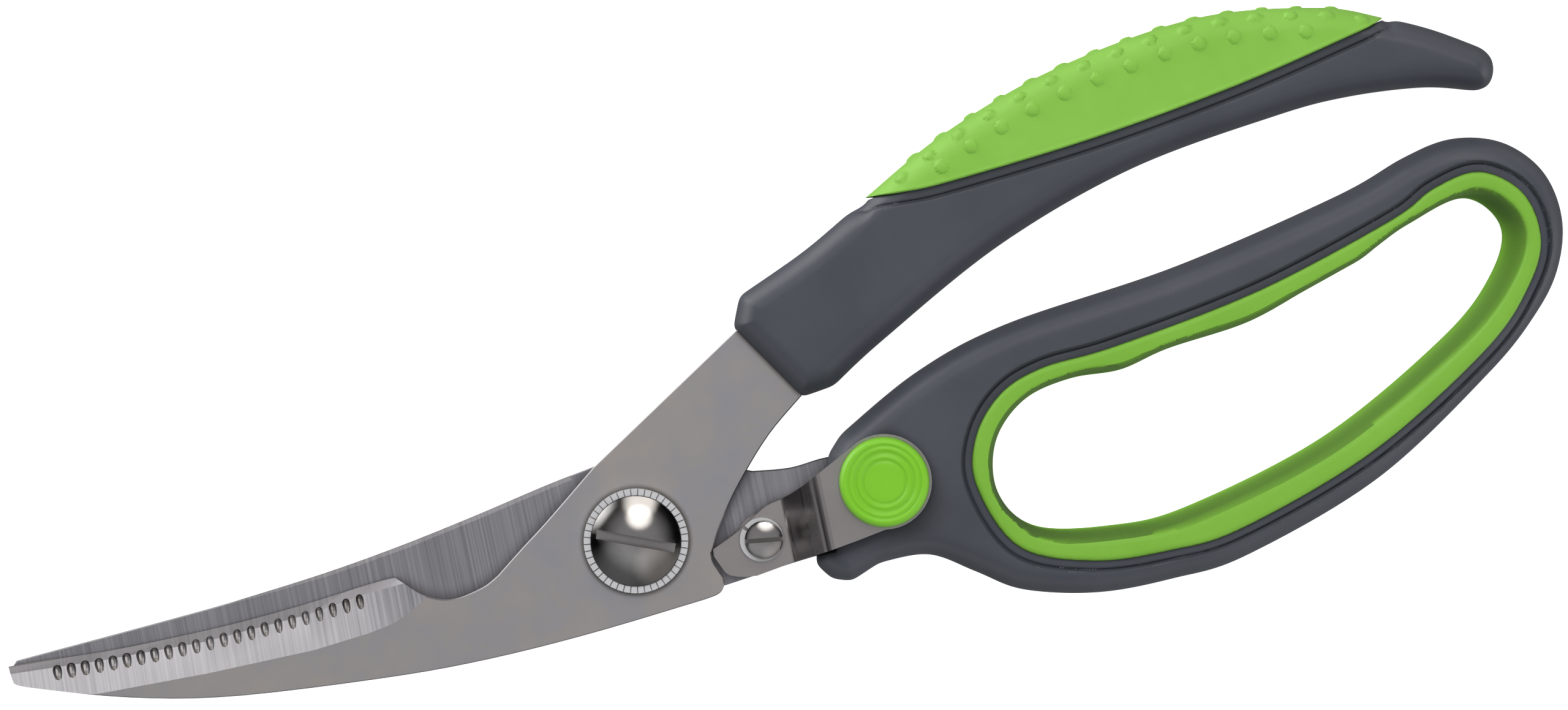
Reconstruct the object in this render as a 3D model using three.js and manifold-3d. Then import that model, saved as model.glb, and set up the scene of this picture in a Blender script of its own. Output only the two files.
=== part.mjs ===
// Poultry shears with a thumb latch: two crossed blades on one pivot, a plain handle with a soft
// pad on the upper half, and a ring handle with a soft liner on the lower half.
//
// Millimetres. +X runs from the blade tips to the handles, +Y is up across the handles, and +Z comes
// out of the front face. The origin is on the pivot axis, at the flat back of the pivot bolt's head.
// Inside the assembly group, z = 0 is the plane where the two blades slide on each other.

import * as THREE from "three";
import { mergeVertices } from "three/addons/utils/BufferGeometryUtils.js";
import Module from "manifold-3d";

const wasm = await Module();
wasm.setup();

// ---------------------------------------------------------------- driving dimensions

const GAP = 0.1; // between the sliding plane and each blade
const BLADE_THICK = 2.9;
const BLADE_TOP = GAP + BLADE_THICK;
const BLADE_EDGE = { wide: 0.16, high: 0.16, steps: 1 }; // the broken edge all round a blade
const FIT = 0.15; // clearance round a piece that sits in another
const HANDLE_HALF = 7.4; // the handles are as thick on both sides of the sliding plane

const PIVOT = { shankR: 3.4, headR: 7.0, headThick: 2.4, keyHalf: 2.7, bore: 3.47 };
const HEAD_FRONT = -BLADE_TOP - 0.05;
const HEAD_BACK = HEAD_FRONT - PIVOT.headThick;
const CAP = { radius: 7.04, bottom: 3.8, rim: 4.9, top: 6.9, slotWide: 1.5, slotFloor: 5.35, slotTurn: -22 };
const SPRING = { coilR: 4.85, wireR: 0.45, low: 2.35, high: 4.2, turns: 2, legOut: 2.0 };
const SPRING_WELL = { inner: 4.1, outer: 5.6, roof: 4.75 };
const RING = {
  wall: 7.15, outer: 8.2, flangeIn: 5.75, flangeTop: 3.75, top: 4.6,
  teeth: 45, grooveWide: 0.16, grooveDeep: 0.4,
};

const LATCH_AT = [19.65, -4.05];
const LATCH = {
  thick: 1.2, low: 0.35, high: 8.2, foot: 23.8, shoulder: 29.1,
  footBend: 0.4, shoulderBend: 1.2, ends: [5, 55],
};
const SCREW = {
  headR: 3.01, shankR: 2.0, headLow: 2.65, headTop: 4.7, slotWide: 0.7, slotDeep: 0.95, slotTurn: -8,
};
const BUTTON = { at: [39.9, 1.1], radius: 7.05, plateR: 7.45, low: 9.45, top: 12.7 };

const SERRATION = {
  count: 23, first: [-93.3, -1.35], last: [-44.5, -0.35], sag: 0.9, lean: -19, wide: [1.25, 1.02],
};

// ---------------------------------------------------------------- shapes

function vectors(...points) {
  return points.map(([x, y]) => new THREE.Vector2(x, y));
}

// A closed outline. A run of one point is a straight line to it, and a longer run is a smooth curve.
function outline(start, ...runs) {
  const shape = new THREE.Shape();
  shape.moveTo(...start);
  for (const run of runs) {
    if (run.length === 1) shape.lineTo(...run[0]);
    else shape.splineThru(vectors(...run));
  }
  shape.closePath();
  return shape;
}

function circle(x, y, radius) {
  const shape = new THREE.Shape();
  shape.absarc(x, y, radius, 0, 2 * Math.PI);
  return shape;
}

// The same outline moved outwards by a distance, or inwards when it is negative.
function grown(shape, distance, fineness) {
  const points = shape.getPoints(fineness);
  if (points[0].distanceTo(points.at(-1)) < 1e-6) points.pop();
  const side = THREE.ShapeUtils.isClockWise(points) ? -1 : 1;
  const moved = points.map((point, i) => {
    const before = point.clone().sub(points.at(i - 1)).normalize();
    const after = points[(i + 1) % points.length].clone().sub(point).normalize();
    const along = before.clone().add(after).normalize();
    const mitre = Math.max(along.dot(after), 0.5);
    return new THREE.Vector2(
      point.x + (side * along.y * distance) / mitre,
      point.y - (side * along.x * distance) / mitre,
    );
  });
  return new THREE.Shape(moved);
}

// An outline with a hole in it, the two running opposite ways as ExtrudeGeometry wants them.
function ringShape(outer, inner) {
  const { isClockWise } = THREE.ShapeUtils;
  const shape = new THREE.Shape(isClockWise(outer) ? outer : outer.reverse());
  shape.holes.push(new THREE.Path(isClockWise(inner) ? inner.reverse() : inner));
  return shape;
}

// An outline as a straight-sided solid between two heights.
function prism(shape, low, high, curveSegments = 3) {
  const geometry = new THREE.ExtrudeGeometry(shape, {
    depth: high - low,
    bevelEnabled: false,
    curveSegments,
  });
  return geometry.translate(0, 0, low);
}

// The same with its edges rounded by a quarter of an ellipse.
function rounded(shape, low, high, edge, curveSegments = 2) {
  const geometry = new THREE.ExtrudeGeometry(shape, {
    depth: high - low - 2 * edge.high,
    bevelEnabled: true,
    bevelThickness: edge.high,
    bevelSize: edge.wide,
    bevelOffset: -edge.wide,
    bevelSegments: edge.steps,
    curveSegments,
  });
  return geometry.translate(0, 0, low + edge.high);
}

// A profile of [radius, height] points turned round the Z axis.
function turned(profile, segments = 32) {
  return new THREE.LatheGeometry(vectors(...profile), segments).rotateX(Math.PI / 2);
}

// A flat washer: a closed rectangular profile.
function washer(inner, outer, low, high, segments = 32) {
  return turned([[inner, low], [outer, low], [outer, high], [inner, high], [inner, low]], segments);
}

function box(size, centre, turnDegrees = 0) {
  const geometry = new THREE.BoxGeometry(...size);
  return geometry.rotateZ(THREE.MathUtils.degToRad(turnDegrees)).translate(...centre);
}

// A solid skin over cross-sections that all have the same number of points.
function loft(sections) {
  const sides = sections[0].length;
  const positions = sections.flat(2);
  const faces = [];
  for (let s = 0; s + 1 < sections.length; s++) {
    for (let i = 0; i < sides; i++) {
      const a = s * sides + i;
      const b = s * sides + ((i + 1) % sides);
      faces.push(a, b, b + sides, a, b + sides, a + sides);
    }
  }
  const last = (sections.length - 1) * sides;
  const ring = sections[0].map(([, y, z]) => new THREE.Vector2(y, z));
  for (const [a, b, c] of THREE.ShapeUtils.triangulateShape(ring, [])) {
    faces.push(c, b, a, last + a, last + b, last + c);
  }
  const geometry = new THREE.BufferGeometry();
  geometry.setAttribute("position", new THREE.Float32BufferAttribute(positions, 3));
  geometry.setIndex(faces);
  return geometry;
}

// ---------------------------------------------------------------- joining and cutting

function solid(geometry) {
  const plain = geometry.index ? geometry.toNonIndexed() : geometry.clone();
  plain.deleteAttribute("normal");
  plain.deleteAttribute("uv");
  const merged = mergeVertices(plain, 1e-4);
  return new wasm.Manifold(
    new wasm.Mesh({
      numProp: 3,
      vertProperties: merged.attributes.position.array,
      triVerts: new Uint32Array(merged.index.array),
    }),
  );
}

function geometryOf(manifold) {
  const mesh = manifold.getMesh();
  const positions = [];
  for (let i = 0; i < mesh.numVert; i++) {
    positions.push(...mesh.vertProperties.subarray(i * mesh.numProp, i * mesh.numProp + 3));
  }
  const geometry = new THREE.BufferGeometry();
  geometry.setAttribute("position", new THREE.Float32BufferAttribute(positions, 3));
  geometry.setIndex([...mesh.triVerts]);
  return geometry;
}

function cut(base, ...tools) {
  return geometryOf(tools.reduce((left, tool) => left.subtract(solid(tool)), solid(base)));
}

function join(...pieces) {
  return geometryOf(pieces.map(solid).reduce((left, piece) => left.add(piece)));
}

function common(a, b) {
  return geometryOf(solid(a).intersect(solid(b)));
}

// ---------------------------------------------------------------- materials and nodes

const LOOKS = {
  blade: { color: 0x93959a, roughness: 0.36, metalness: 1 },
  mirror: { color: 0xd9dbde, roughness: 0.08, metalness: 1 },
  plate: { color: 0xb4b6ba, roughness: 0.28, metalness: 1 },
  spring: { color: 0x80838a, roughness: 0.3, metalness: 1 },
  grey: { color: 0x444952, roughness: 0.55, metalness: 0 },
  green: { color: 0x82ba4d, roughness: 0.6, metalness: 0 },
};

function node(name, look, geometry) {
  const mesh = new THREE.Mesh(geometry, new THREE.MeshStandardMaterial(LOOKS[look]));
  mesh.name = name;
  return mesh;
}

// ---------------------------------------------------------------- blades

const frontBladeShape = outline(
  [-100.9, 1.1],
  [[-100.4, -1.7]],
  [[-97.5, -3.0], [-82.4, -7.7], [-66.7, -10.8], [-43, -12.9], [-27, -13.4], [-10, -12.8], [8.6, -11.3]],
  [[10.9, -10.9], [12.0, -9.9], [12.2, -8.5]],
  [[11.6, -7.1], [11.1, -5.7], [11.1, -4.2]],
  [[14.3, 1.0], [18.2, 6.0], [23.9, 12.0], [30.2, 16.9]],
  [[37, 21.5], [58, 35.5]],
  [[59, 38.5], [56, 41.5], [53, 42.0]],
  [[27, 32.0]],
  [[-4.1, 12.7]],
  [[-12.9, 6.0], [-18.1, 2.3], [-22.3, -0.8]],
  [[-25.2, -2.2], [-30.2, -3.0], [-34.3, -1.6], [-37.3, 1.1], [-38.4, 2.1]],
  [[-41.0, 2.1], [-55.3, 0.8], [-68.1, 0.2], [-83.9, 0.2], [-95.7, 0.9], [-100.9, 1.1]],
);

const rearBladeShape = outline(
  [-99.6, 1.7],
  [[-100.7, 0.2], [-99.4, -1.2]],
  [[-80, -3.8], [-60, -5.6], [-40, -7.2], [-22, -9.0]],
  [[-12, -10.8], [0, -11.0], [12.2, -9.9], [24.1, -8.6], [34, -7.9]],
  [[50, -6.6]],
  [[51.6, -5.2], [51.2, 2.0], [49.4, 3.4]],
  [[38, 5.6], [32, 6.5], [26, 6.1], [20.1, 6.8]],
  [[13, 9.6], [4, 12.6], [-4.3, 12.7]],
  [[-12.2, 11.4], [-23.9, 9.1], [-35.7, 7.0], [-47.6, 5.3], [-59.5, 4.1], [-71.4, 3.2], [-99.6, 1.7]],
);

const FRONT_TANG_HOLE = [45, 32.5, 2.2];
const REAR_TANG_HOLE = [43, -1.4, 2.2];

// The space over a ground edge. A station is [x, edge y, inner line of the edge bevel, line where the
// grind starts, extra thickness left at the edge], all seen from the front. "away" is +1 if the edge
// faces +Y and "front" +1 if the grind is on the front face.
function grindSpace(stations, away, front) {
  const above = BLADE_TOP + 2;
  const sections = stations.map(([x, edge, bevel, grind, left = 0]) => {
    const out = edge + away * 3;
    const lip = GAP + 0.15 + left;
    const shoulder = GAP + 1.2 + left;
    const ground = [[grind, BLADE_TOP], [bevel, shoulder], [edge, lip]];
    const open = [[out, lip], [out, above], [grind, above]];
    return [...ground, ...open].map(([y, z]) => [x, y, front * z]);
  });
  if (away * front < 0) sections.forEach((section) => section.reverse());
  return loft(sections);
}

const FRONT_GRIND = [
  [-104, 1.1, 0.1, -5.4],
  [-86, 0.3, -1.0, -6.0],
  [-70, 0.2, -1.5, -6.4],
  [-53, 1.0, -0.7, -6.3],
  [-44, 1.9, 0.5, -5.5],
  [-40, 2.1, 0.8, -4.8, 0.1],
  [-37, 2.1, 1.0, -3.6, 0.45],
  [-33.2, 2.1, 1.2, -1.6, 1.1],
];

const REAR_GRIND = [
  [-104, -0.9, -0.1, 3.0],
  [-80, -3.8, -2.8, 1.2],
  [-60, -5.6, -4.4, 0.0],
  [-40, -7.2, -5.8, -1.2],
  [-22, -9.0, -7.6, -3.4],
  [-16, -11.4, -10.8, -9.4],
];

// The front corner of the rear blade's back is ground off in a narrow band that fades out towards the
// tip. A station is [x, y of the blade's back, width of the band].
const BACK_BAND = [
  [-72, 3.2, 0.05],
  [-59.5, 4.1, 0.4],
  [-47.6, 5.3, 0.65],
  [-35.7, 7.0, 0.75],
  [-23.9, 9.1, 0.75],
  [-12.2, 11.4, 0.75],
  [-8, 12.15, 0.75],
];
const BACK_BAND_SLOPE = 0.6;

function backBandSpace() {
  return loft(BACK_BAND.map(([x, back, wide]) => {
    const inner = back - wide;
    const outer = back + 1;
    const foot = -GAP - BACK_BAND_SLOPE * (outer - inner);
    return [[inner, -GAP], [outer, foot], [outer, 1], [inner, 1]].map(([y, z]) => [x, y, z]);
  }));
}

// One scalloped serration: a hollow that lies along the grind, round at both ends.
function serration(x, y, width) {
  const profile = [[0, -1.35], [0.38, -1.1], [0.54, -0.45], [0.6, 0.2], [0.55, 0.7], [0.36, 1.05], [0, 1.25]];
  const hollow = new THREE.LatheGeometry(vectors(...profile), 12).scale(width, 1, 1);
  return hollow.rotateX(THREE.MathUtils.degToRad(SERRATION.lean)).translate(x, y, GAP + 1.4);
}

function serrations() {
  const { count, first, last, sag, wide } = SERRATION;
  return Array.from({ length: count }, (_, i) => {
    const t = i / (count - 1);
    const x = THREE.MathUtils.lerp(first[0], last[0], t);
    const y = THREE.MathUtils.lerp(first[1], last[1], t) - sag * Math.sin(Math.PI * t);
    return serration(x, y, THREE.MathUtils.lerp(wide[0], wide[1], t));
  });
}

// The hidden inner side of the heel is cut back so that the pawl can pass under it.
function heelRelief() {
  const shape = new THREE.Shape();
  const [from, to] = [-80, -14].map(THREE.MathUtils.degToRad);
  shape.absarc(0, 0, 30, from, to, false);
  shape.absarc(0, 0, 10.7, to, from, true);
  shape.closePath();
  return prism(shape, -1, LATCH.low + LATCH.thick + 0.3, 6);
}

function springLegPocket() {
  const shape = new THREE.Shape();
  const [from, to] = [-50, 12].map(THREE.MathUtils.degToRad);
  shape.absarc(0, 0, 7.2, from, to, false);
  shape.absarc(0, 0, 4.5, to, from, true);
  shape.closePath();
  return prism(shape, SPRING.low - 0.6, BLADE_TOP + 1, 6);
}

function frontBlade() {
  return cut(
    rounded(frontBladeShape, GAP, BLADE_TOP, BLADE_EDGE, 4),
    grindSpace(FRONT_GRIND, 1, 1),
    prism(circle(0, 0, PIVOT.bore), -1, BLADE_TOP + 1, 16),
    washer(PIVOT.bore - 1, 6.1, SPRING.low - 0.6, BLADE_TOP + 1),
    springLegPocket(),
    heelRelief(),
    prism(circle(...FRONT_TANG_HOLE), -1, BLADE_TOP + 1, 8),
    ...serrations(),
  );
}

// The pivot bolt's shank has two flats inside the rear blade, so that it can't turn there.
function keyShape(extra) {
  const radius = PIVOT.shankR + extra;
  const half = PIVOT.keyHalf + extra;
  const corner = Math.acos(half / radius);
  const shape = new THREE.Shape();
  shape.absarc(0, 0, radius, corner, Math.PI - corner, false);
  shape.absarc(0, 0, radius, Math.PI + corner, 2 * Math.PI - corner, false);
  shape.closePath();
  return shape;
}

function rearBlade() {
  return cut(
    rounded(rearBladeShape, -BLADE_TOP, -GAP, BLADE_EDGE, 4),
    grindSpace(REAR_GRIND, -1, -1),
    backBandSpace(),
    prism(keyShape(0.08), -BLADE_TOP - 1, 1, 8),
    washer(PIVOT.shankR - 1, 6.15, -GAP - 0.5, 1),
    prism(circle(...LATCH_AT, SCREW.shankR + 0.06), -BLADE_TOP - 1, 1, 10),
    prism(circle(...REAR_TANG_HOLE), -BLADE_TOP - 1, 1, 8),
  );
}

// ---------------------------------------------------------------- pivot

function pivotBolt() {
  const head = turned([
    [0, HEAD_BACK],
    [PIVOT.headR - 0.6, HEAD_BACK],
    [PIVOT.headR, HEAD_BACK + 0.6],
    [PIVOT.headR, HEAD_FRONT],
    [0, HEAD_FRONT],
  ]);
  const key = prism(keyShape(0), HEAD_FRONT - 0.5, -GAP - 0.4, 8);
  const shank = turned([[0, -GAP - 0.45], [PIVOT.shankR, -GAP - 0.45], [PIVOT.shankR, 4.5], [0, 4.5]]);
  return join(head, key, shank);
}

function pivotWasher() {
  return washer(PIVOT.bore, 6.0, -GAP - 0.45, 0.03);
}

// The opening spring: a coil with a straight leg at each end.
class SpringPath extends THREE.Curve {
  getPoint(t, target = new THREE.Vector3()) {
    const legPart = 0.06;
    const coil = THREE.MathUtils.clamp((t - legPart) / (1 - 2 * legPart), 0, 1);
    const leg = t < legPart ? 1 - t / legPart : Math.max(0, (t - 1 + legPart) / legPart);
    const angle = 2 * Math.PI * SPRING.turns * coil;
    const reach = t < 0.5 ? SPRING.legOut : SPRING.legOut - 0.6;
    const radius = SPRING.coilR + reach * leg;
    return target.set(
      radius * Math.cos(angle),
      radius * Math.sin(angle),
      THREE.MathUtils.lerp(SPRING.low, SPRING.high, coil),
    );
  }
}

function openingSpring() {
  return new THREE.ExtrudeGeometry(circle(0, 0, SPRING.wireR), {
    extrudePath: new SpringPath(),
    steps: 50,
    curveSegments: 3,
    bevelEnabled: false,
  });
}

// The ring round the nut: a flange under the nut's rim and a raised face with fine radial grooves.
function toothedRing() {
  const { wall, outer, flangeIn, flangeTop, top, teeth, grooveWide, grooveDeep } = RING;
  const low = BLADE_TOP + 0.05;
  const body = turned([
    [flangeIn, low],
    [outer, low],
    [outer, top],
    [wall, top],
    [wall, flangeTop],
    [flangeIn, flangeTop],
    [flangeIn, low],
  ], teeth);
  const grooves = Array.from({ length: teeth }, (_, i) => {
    const groove = box([outer - wall + 1, grooveWide, 1], [(outer + wall) / 2, 0, top - grooveDeep + 0.5]);
    return groove.rotateZ((2 * Math.PI * (i + 0.5)) / teeth);
  });
  return cut(body, ...grooves);
}

// A shallow spherical dome over the spring's well and the bolt's end.
function pivotCapNut() {
  const rise = CAP.top - CAP.rim;
  const sphere = (CAP.radius ** 2 + rise ** 2) / (2 * rise);
  const dome = [];
  const steps = 8;
  for (let i = 0; i <= steps; i++) {
    const radius = CAP.radius * (1 - i / steps);
    dome.push([radius, CAP.top - sphere + Math.sqrt(sphere ** 2 - radius ** 2)]);
  }
  const body = turned([
    [0, SPRING_WELL.roof],
    [PIVOT.bore, SPRING_WELL.roof],
    [PIVOT.bore, CAP.bottom],
    [SPRING_WELL.inner, CAP.bottom],
    [SPRING_WELL.inner, SPRING_WELL.roof],
    [SPRING_WELL.outer, SPRING_WELL.roof],
    [SPRING_WELL.outer, CAP.bottom],
    [CAP.radius, CAP.bottom],
    ...dome,
  ], 48);
  const slot = box([20, CAP.slotWide, 4], [0, 0, CAP.slotFloor + 2], CAP.slotTurn);
  const legSlot = box([2.4, 1.3, 2], [5.9, 0, SPRING_WELL.roof - 1]);
  return cut(body, slot, legSlot);
}

// ---------------------------------------------------------------- latch

// The plate seen from the front: a pawl at the left, and a round end under the button.
function latchPlan() {
  const [x, y] = BUTTON.at;
  const shape = new THREE.Shape();
  shape.moveTo(11.5, -3.9);
  shape.lineTo(11.4, -5.0);
  shape.lineTo(12.6, -7.8);
  shape.splineThru(vectors([13.4, -8.5], [15.2, -9.1], [17.4, -9.4]));
  shape.lineTo(23.6, -8.5);
  shape.lineTo(34.0, -7.0);
  shape.absarc(x, y, BUTTON.plateR, THREE.MathUtils.degToRad(-100), THREE.MathUtils.degToRad(122), false);
  shape.lineTo(29.2, 4.0);
  shape.splineThru(vectors([26.3, 2.6], [23.7, 1.6]));
  shape.splineThru(vectors([21.3, 1.1], [19.5, 0.2], [16.0, -1.9], [11.5, -3.9]));
  return shape;
}

// The plate seen from the side: flat, cranked up over the handle's collar, and flat again.
function latchSide() {
  const { thick, low, high, foot, shoulder, footBend, shoulderBend, ends } = LATCH;
  const slope = Math.atan2(high - low, shoulder - foot);
  const shift = thick * Math.tan(slope / 2);
  const up = new THREE.Vector2(Math.cos(slope), Math.sin(slope));
  const shape = new THREE.Shape();
  const bend = (x, z, length, before, after) => {
    shape.lineTo(x - length * before.x, z - length * before.y);
    shape.quadraticCurveTo(x, z, x + length * after.x, z + length * after.y);
  };
  const along = new THREE.Vector2(1, 0);
  shape.moveTo(ends[0], low);
  bend(foot + shift, low, footBend + shift, along, up);
  bend(shoulder + shift, high, shoulderBend - shift, up, along);
  shape.lineTo(ends[1], high);
  shape.lineTo(ends[1], high + thick);
  bend(shoulder, high + thick, shoulderBend, along.clone().negate(), up.clone().negate());
  bend(foot, low + thick, footBend, up.clone().negate(), along.clone().negate());
  shape.lineTo(ends[0], low + thick);
  shape.closePath();
  return shape;
}

function latchPlate() {
  const sheet = prism(latchSide(), -20, 20, 4).rotateX(Math.PI / 2);
  const plan = prism(latchPlan(), -1, 12, 14);
  const screwHole = prism(circle(...LATCH_AT, SCREW.shankR + 0.08), -1, 4, 10);
  const rivetHole = prism(circle(...BUTTON.at, 1.3), 6, 12, 8);
  return cut(common(sheet, plan), screwHole, rivetHole);
}

function latchScrew() {
  const { headR, shankR, headLow, headTop, slotWide, slotDeep, slotTurn } = SCREW;
  const body = turned([
    [0, -BLADE_TOP + 0.1],
    [shankR, -BLADE_TOP + 0.1],
    [shankR, headLow],
    [headR, headLow],
    [headR, headTop - 0.5],
    [headR - 0.18, headTop - 0.18],
    [headR - 0.6, headTop],
    [0, headTop + 0.1],
  ], 24);
  return cut(body, box([8, slotWide, 2], [0, 0, headTop - slotDeep + 1], slotTurn));
}

// A split spring washer: its ring is open at one place, and it sits a little to one side.
function latchLockWasher() {
  const shape = new THREE.Shape();
  const [from, to] = [139, 129 + 360].map(THREE.MathUtils.degToRad);
  shape.absarc(-0.35, 0.1, 3.45, from, to, false);
  shape.absarc(-0.35, 0.1, 2.42, to, from, true);
  shape.closePath();
  return prism(shape, LATCH.low + LATCH.thick + 0.1, SCREW.headLow - 0.05, 14);
}

function latchWasher() {
  return washer(2.15, 4.2, -GAP + 0.05, LATCH.low - 0.05, 24);
}

function latchButton() {
  const { radius, low, top } = BUTTON;
  return turned([
    [0, low + 1.9],
    [1.3, low + 1.9],
    [1.3, low],
    [radius - 0.4, low],
    [radius, low + 0.5],
    [radius, top - 1.6],
    [radius - 0.5, top - 0.5],
    [radius - 1.3, top],
    [5.3, top - 0.1],
    [4.9, top - 0.7],
    [4.3, top - 0.7],
    [3.9, top - 0.2],
    [3.4, top - 0.2],
    [3.0, top - 0.6],
    [0, top - 0.6],
  ], 40);
}

function buttonRivet() {
  return turned([[0, 7.65], [2.0, 7.65], [2.3, 7.9], [2.3, 8.15], [1.2, 8.15], [1.2, 11.2], [0, 11.2]], 20);
}

// ---------------------------------------------------------------- handles

const HANDLE_EDGE = { wide: 2.8, high: 4.4, steps: 3 };

const upperHandleShape = outline(
  [22.1, 29.7],
  [[24.0, 33.9]],
  [[34.1, 38.4], [40.5, 41.6], [46.6, 45.3], [60.8, 52.6], [79.6, 58.7], [102.9, 61.9], [122.2, 59.5],
    [131.6, 55.7], [139.0, 52.4], [146.2, 47.8]],
  [[147.0, 44.0]],
  [[143.2, 42.1]],
  [[135.9, 44.1], [124.1, 45.1], [112.2, 44.5], [88.5, 41.0], [65.7, 33.6], [44.4, 22.8], [35.4, 17.4]],
  [[30.4, 17.0]],
);

const padSeam = [
  [47.0, 45.4], [52.4, 44.9], [60.3, 45.0], [83.8, 47.0], [107.3, 50.4], [126.7, 54.3], [130.6, 55.4],
];
const padRegion = outline([45.6, 45.6], padSeam, [[132.2, 58.0]], [[132, 70]], [[45, 70]]);
const padTongue = outline(
  [58, 42],
  [[62, 49.8]],
  [[79.6, 55.4], [102.9, 58.6], [121, 56.4]],
  [[123, 50]],
);

const loopOuter = outline(
  [32.6, 6.8],
  [[35.2, 9.3]],
  [[48.8, 16.8], [64.1, 21.2], [91.9, 24.5], [119.2, 30.1], [130.7, 33.8], [138.5, 35.1], [146.1, 32.9],
    [151.4, 27.1], [152.8, 19.3], [150.5, 11.7], [145.6, 5.4], [136.4, -2.2], [115.9, -14.6], [93.2, -22.0],
    [81.3, -23.4], [69.4, -23.1], [57.9, -20.1], [51.2, -15.8], [44.5, -11.8], [36.6, -11.4]],
  [[31.7, -13.1]],
  [[28.7, -12.4]],
  [[27.3, -9.6]],
);

const linerOuter = outline(
  [53.9, -2.9],
  [[55.5, 4.8], [60.7, 10.7], [68.1, 13.4], [80, 14.4], [103.7, 18.3], [126.7, 24.9], [134, 28.1],
    [141.9, 29.2], [148, 24.5], [149.3, 16.8], [145.7, 9.7], [136.8, 1.6], [116, -10.3], [93.4, -17.8],
    [81.5, -19.0], [69.6, -18.2], [58.6, -13.6], [53.9, -2.9]],
);

const linerInner = outline(
  [57.2, -4.5],
  [[58.5, 3.4], [64.2, 8.9], [72, 10.7], [80.1, 10.4], [88, 12.1], [101, 13.5], [115.5, 18.2], [126.9, 22.3],
    [138.5, 25.6], [143.1, 19.9], [139.8, 12.7], [130.6, 4.8], [109.1, -6.5], [85.7, -12.8], [73.6, -13.2],
    [61.8, -10.8], [57.2, -4.5]],
);

function tangSlot(bladeShape, hole, low, high) {
  const slot = prism(grown(bladeShape, FIT, 3), low - FIT, high + FIT);
  return cut(slot, prism(circle(hole[0], hole[1], hole[2] - FIT), low - 1, high + 1, 8));
}

function upperHandleWhole() {
  return rounded(upperHandleShape, -HANDLE_HALF, HANDLE_HALF, HANDLE_EDGE);
}

function upperHandleBody() {
  const shell = cut(upperHandleWhole(), prism(grown(padRegion, FIT, 3), -10, 10));
  const withTongue = join(shell, prism(padTongue, -3, 3, 3));
  return cut(withTongue, tangSlot(frontBladeShape, FRONT_TANG_HOLE, GAP, BLADE_TOP));
}

function upperGripPad() {
  const pad = common(upperHandleWhole(), prism(padRegion, -10, 10, 3));
  return cut(pad, prism(grown(padTongue, FIT, 3), -3 - FIT, 3 + FIT));
}

function loopWhole() {
  const shape = ringShape(loopOuter.getPoints(2), linerInner.getPoints(2));
  return rounded(shape, -HANDLE_HALF, HANDLE_HALF, HANDLE_EDGE);
}

const LINER_TONGUE = 1.6; // how far the ring's tongue stands into the liner
const LINER_TONGUE_HALF = 3;

// The collar is hollowed in front of the tang, where the latch's cranked wall swings.
const latchPocketShape = outline(
  [24, -8.5],
  [[30.3, -8.2]],
  [[32.2, -5.0], [32.8, -2.0], [32.0, 2.0], [30.6, 5.2], [28.0, 7.9]],
  [[22, 9.5]],
);

function linerTongue(extra) {
  const outer = grown(linerOuter, 1.0, 2).getPoints();
  const inner = grown(linerOuter, -LINER_TONGUE - extra, 2).getPoints();
  const shape = ringShape(outer, inner);
  return prism(shape, -LINER_TONGUE_HALF - extra, LINER_TONGUE_HALF + extra);
}

function loopHandleBody() {
  const ring = cut(loopWhole(), prism(grown(linerOuter, FIT, 2), -10, 10));
  return cut(
    join(ring, linerTongue(0)),
    tangSlot(rearBladeShape, REAR_TANG_HOLE, -BLADE_TOP, -GAP),
    prism(latchPocketShape, -GAP + 0.05, 10, 2),
  );
}

function loopLiner() {
  const liner = common(loopWhole(), prism(grown(linerOuter, 0, 2), -10, 10));
  return cut(liner, linerTongue(FIT));
}

// ---------------------------------------------------------------- assembly

// Everything that stays with the ring handle.
function rearHalf() {
  const half = new THREE.Group();
  half.add(
    node("rear_blade", "blade", rearBlade()),
    node("loop_handle_body", "grey", loopHandleBody()),
    node("loop_liner", "green", loopLiner()),
    node("pivot_bolt", "plate", pivotBolt()),
    node("pivot_washer", "plate", pivotWasher()),
    node("opening_spring", "spring", openingSpring()),
    node("pivot_cap_nut", "mirror", pivotCapNut()),
  );
  const screwParts = new THREE.Group();
  screwParts.position.set(...LATCH_AT, 0);
  screwParts.add(
    node("latch_screw", "mirror", latchScrew()),
    node("latch_lock_washer", "plate", latchLockWasher()),
    node("latch_washer", "plate", latchWasher()),
  );
  half.add(screwParts);
  return half;
}

// Everything that turns with the padded handle.
function frontHalf() {
  const half = new THREE.Group();
  half.add(
    node("front_blade", "blade", frontBlade()),
    node("upper_handle_body", "grey", upperHandleBody()),
    node("upper_grip_pad", "green", upperGripPad()),
    node("toothed_ring", "plate", toothedRing()),
  );
  return half;
}

function latch() {
  const group = new THREE.Group();
  const buttonParts = new THREE.Group();
  buttonParts.position.set(...BUTTON.at, 0);
  buttonParts.add(
    node("latch_button", "green", latchButton()),
    node("button_rivet", "plate", buttonRivet()),
  );
  group.add(node("latch_plate", "plate", latchPlate()), buttonParts);
  return group;
}

const shears = new THREE.Group();
const assembly = new THREE.Group();
assembly.position.z = -HEAD_BACK;
assembly.add(rearHalf(), frontHalf(), latch());
shears.add(assembly);

export default shears;
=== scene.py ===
"""Looks for the poultry shears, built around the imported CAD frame.

Lengths are in millimetres in the CAD frame, and MM turns them into Blender's metres. X runs from the
blade tips to the handles, Y is up across the handles, and Z comes out of the front face.
"""

import math

import bmesh
import bpy
import numpy as np
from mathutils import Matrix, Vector
from mathutils.geometry import delaunay_2d_cdt
from mathutils.kdtree import KDTree


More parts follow.
